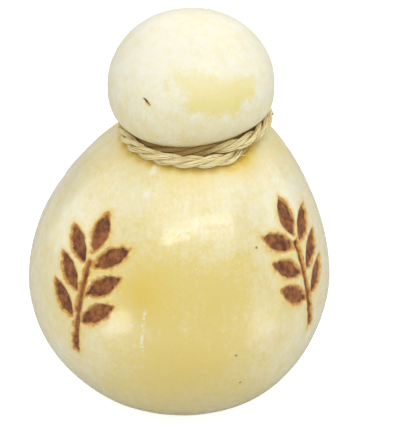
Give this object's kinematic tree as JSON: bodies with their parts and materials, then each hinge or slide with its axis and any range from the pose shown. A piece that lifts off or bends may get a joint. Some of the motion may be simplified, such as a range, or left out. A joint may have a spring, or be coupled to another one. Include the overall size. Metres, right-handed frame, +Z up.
{
  "type": "caciocavallo cheese",
  "caption": "Pear-shaped caciocavallo cheese with a ball head, a laid straw-coloured rope tied round its neck and leaf sprigs burnt into its pale rind.",
  "frame": {"origin": "middle of the outline seen from above, on the floor under the flat foot", "axes": "+Z up from the foot to the head, -Y to the front that the picture shows, +X to the viewer's right"},
  "size_m": [0.1532, 0.1544, 0.2095],
  "materials": {
    "rind": "waxy, pale yellow with paler bloom and golden patches",
    "straw": "dry laid plant fibre"
  },
  "bodies": {
    "root": {"cheese": "rind", "rope": "straw"}
  },
  "joints": []
}
